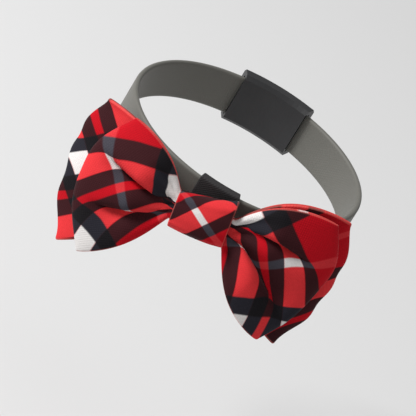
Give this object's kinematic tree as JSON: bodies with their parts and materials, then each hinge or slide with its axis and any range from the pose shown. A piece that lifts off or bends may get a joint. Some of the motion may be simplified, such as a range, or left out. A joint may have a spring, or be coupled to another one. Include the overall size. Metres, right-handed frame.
{
  "type": "pet bow tie collar",
  "caption": "Flat fabric neck band with a hidden clasp, carrying a double-layer plaid bow tie gathered by a wrapped knot.",
  "frame": {"origin": "centre of the neck ring at half the band's width", "axes": "+Z along the neck towards the head, -Y to the bow at the front, +Y to the clasp at the nape"},
  "size_m": [0.101, 0.1145, 0.0552],
  "materials": {
    "plaid_cloth": "matt woven cotton in a red, black, salmon and white check, cut on the bias",
    "band_webbing": "smooth flat olive-grey webbing",
    "keeper_tape": "plain dark woven tape",
    "clasp_plastic": "fine-grained moulded black plastic"
  },
  "bodies": {
    "root": {"collar_band": "band_webbing", "clasp": "clasp_plastic", "band_keeper": "keeper_tape", "back_bow": "plaid_cloth", "front_bow": "plaid_cloth", "knot": "plaid_cloth"}
  },
  "joints": []
}
